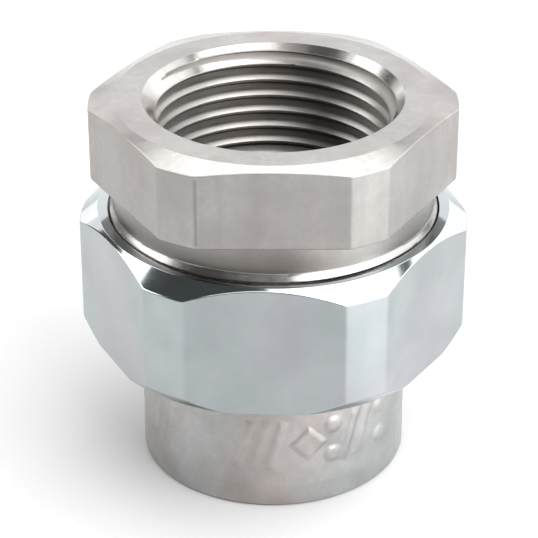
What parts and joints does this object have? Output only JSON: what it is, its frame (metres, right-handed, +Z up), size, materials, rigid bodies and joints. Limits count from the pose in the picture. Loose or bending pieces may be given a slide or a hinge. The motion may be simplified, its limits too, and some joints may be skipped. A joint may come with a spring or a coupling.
{
  "type": "pipe union",
  "caption": "Metal pipe union: hexagonal upper hub with a tapered female thread, captive hexagonal union nut and round lower hub with a smaller tapered female thread.",
  "frame": {"origin": "centre of the lower hub's end face, which the part stands on", "axes": "+Z up along the bore towards the upper hub; one flat of the upper hub faces -Y"},
  "size_m": [0.041, 0.0384, 0.0414],
  "materials": {
    "hub_plate": "satin zinc plate, warm grey",
    "nut_plate": "bright zinc plate, cool grey",
    "cast_plate": "zinc plate over a cast skin, with machined end and seat",
    "seat_brass": "turned brass"
  },
  "bodies": {
    "lower_hub": {"lower_hub": "cast_plate"},
    "union_nut": {"union_nut": "nut_plate"},
    "upper_hub": {"upper_hub": "hub_plate", "seat_ring": "seat_brass"}
  },
  "joints": [
    {"name": "nut_turn", "type": "hinge", "parent": "lower_hub", "child": "union_nut", "pos_m": [0, 0, 0.0219], "axis": [0, 0, 1], "range_deg": [-1620, 0]},
    {"name": "hub_lift", "type": "slide", "parent": "lower_hub", "child": "upper_hub", "axis": [0, 0, 1], "range_m": [0, 0.0082]}
  ],
  "couplings": [
    {"joint": "hub_lift", "follows": "nut_turn", "m_per_rad": -0.00028876}
  ]
}
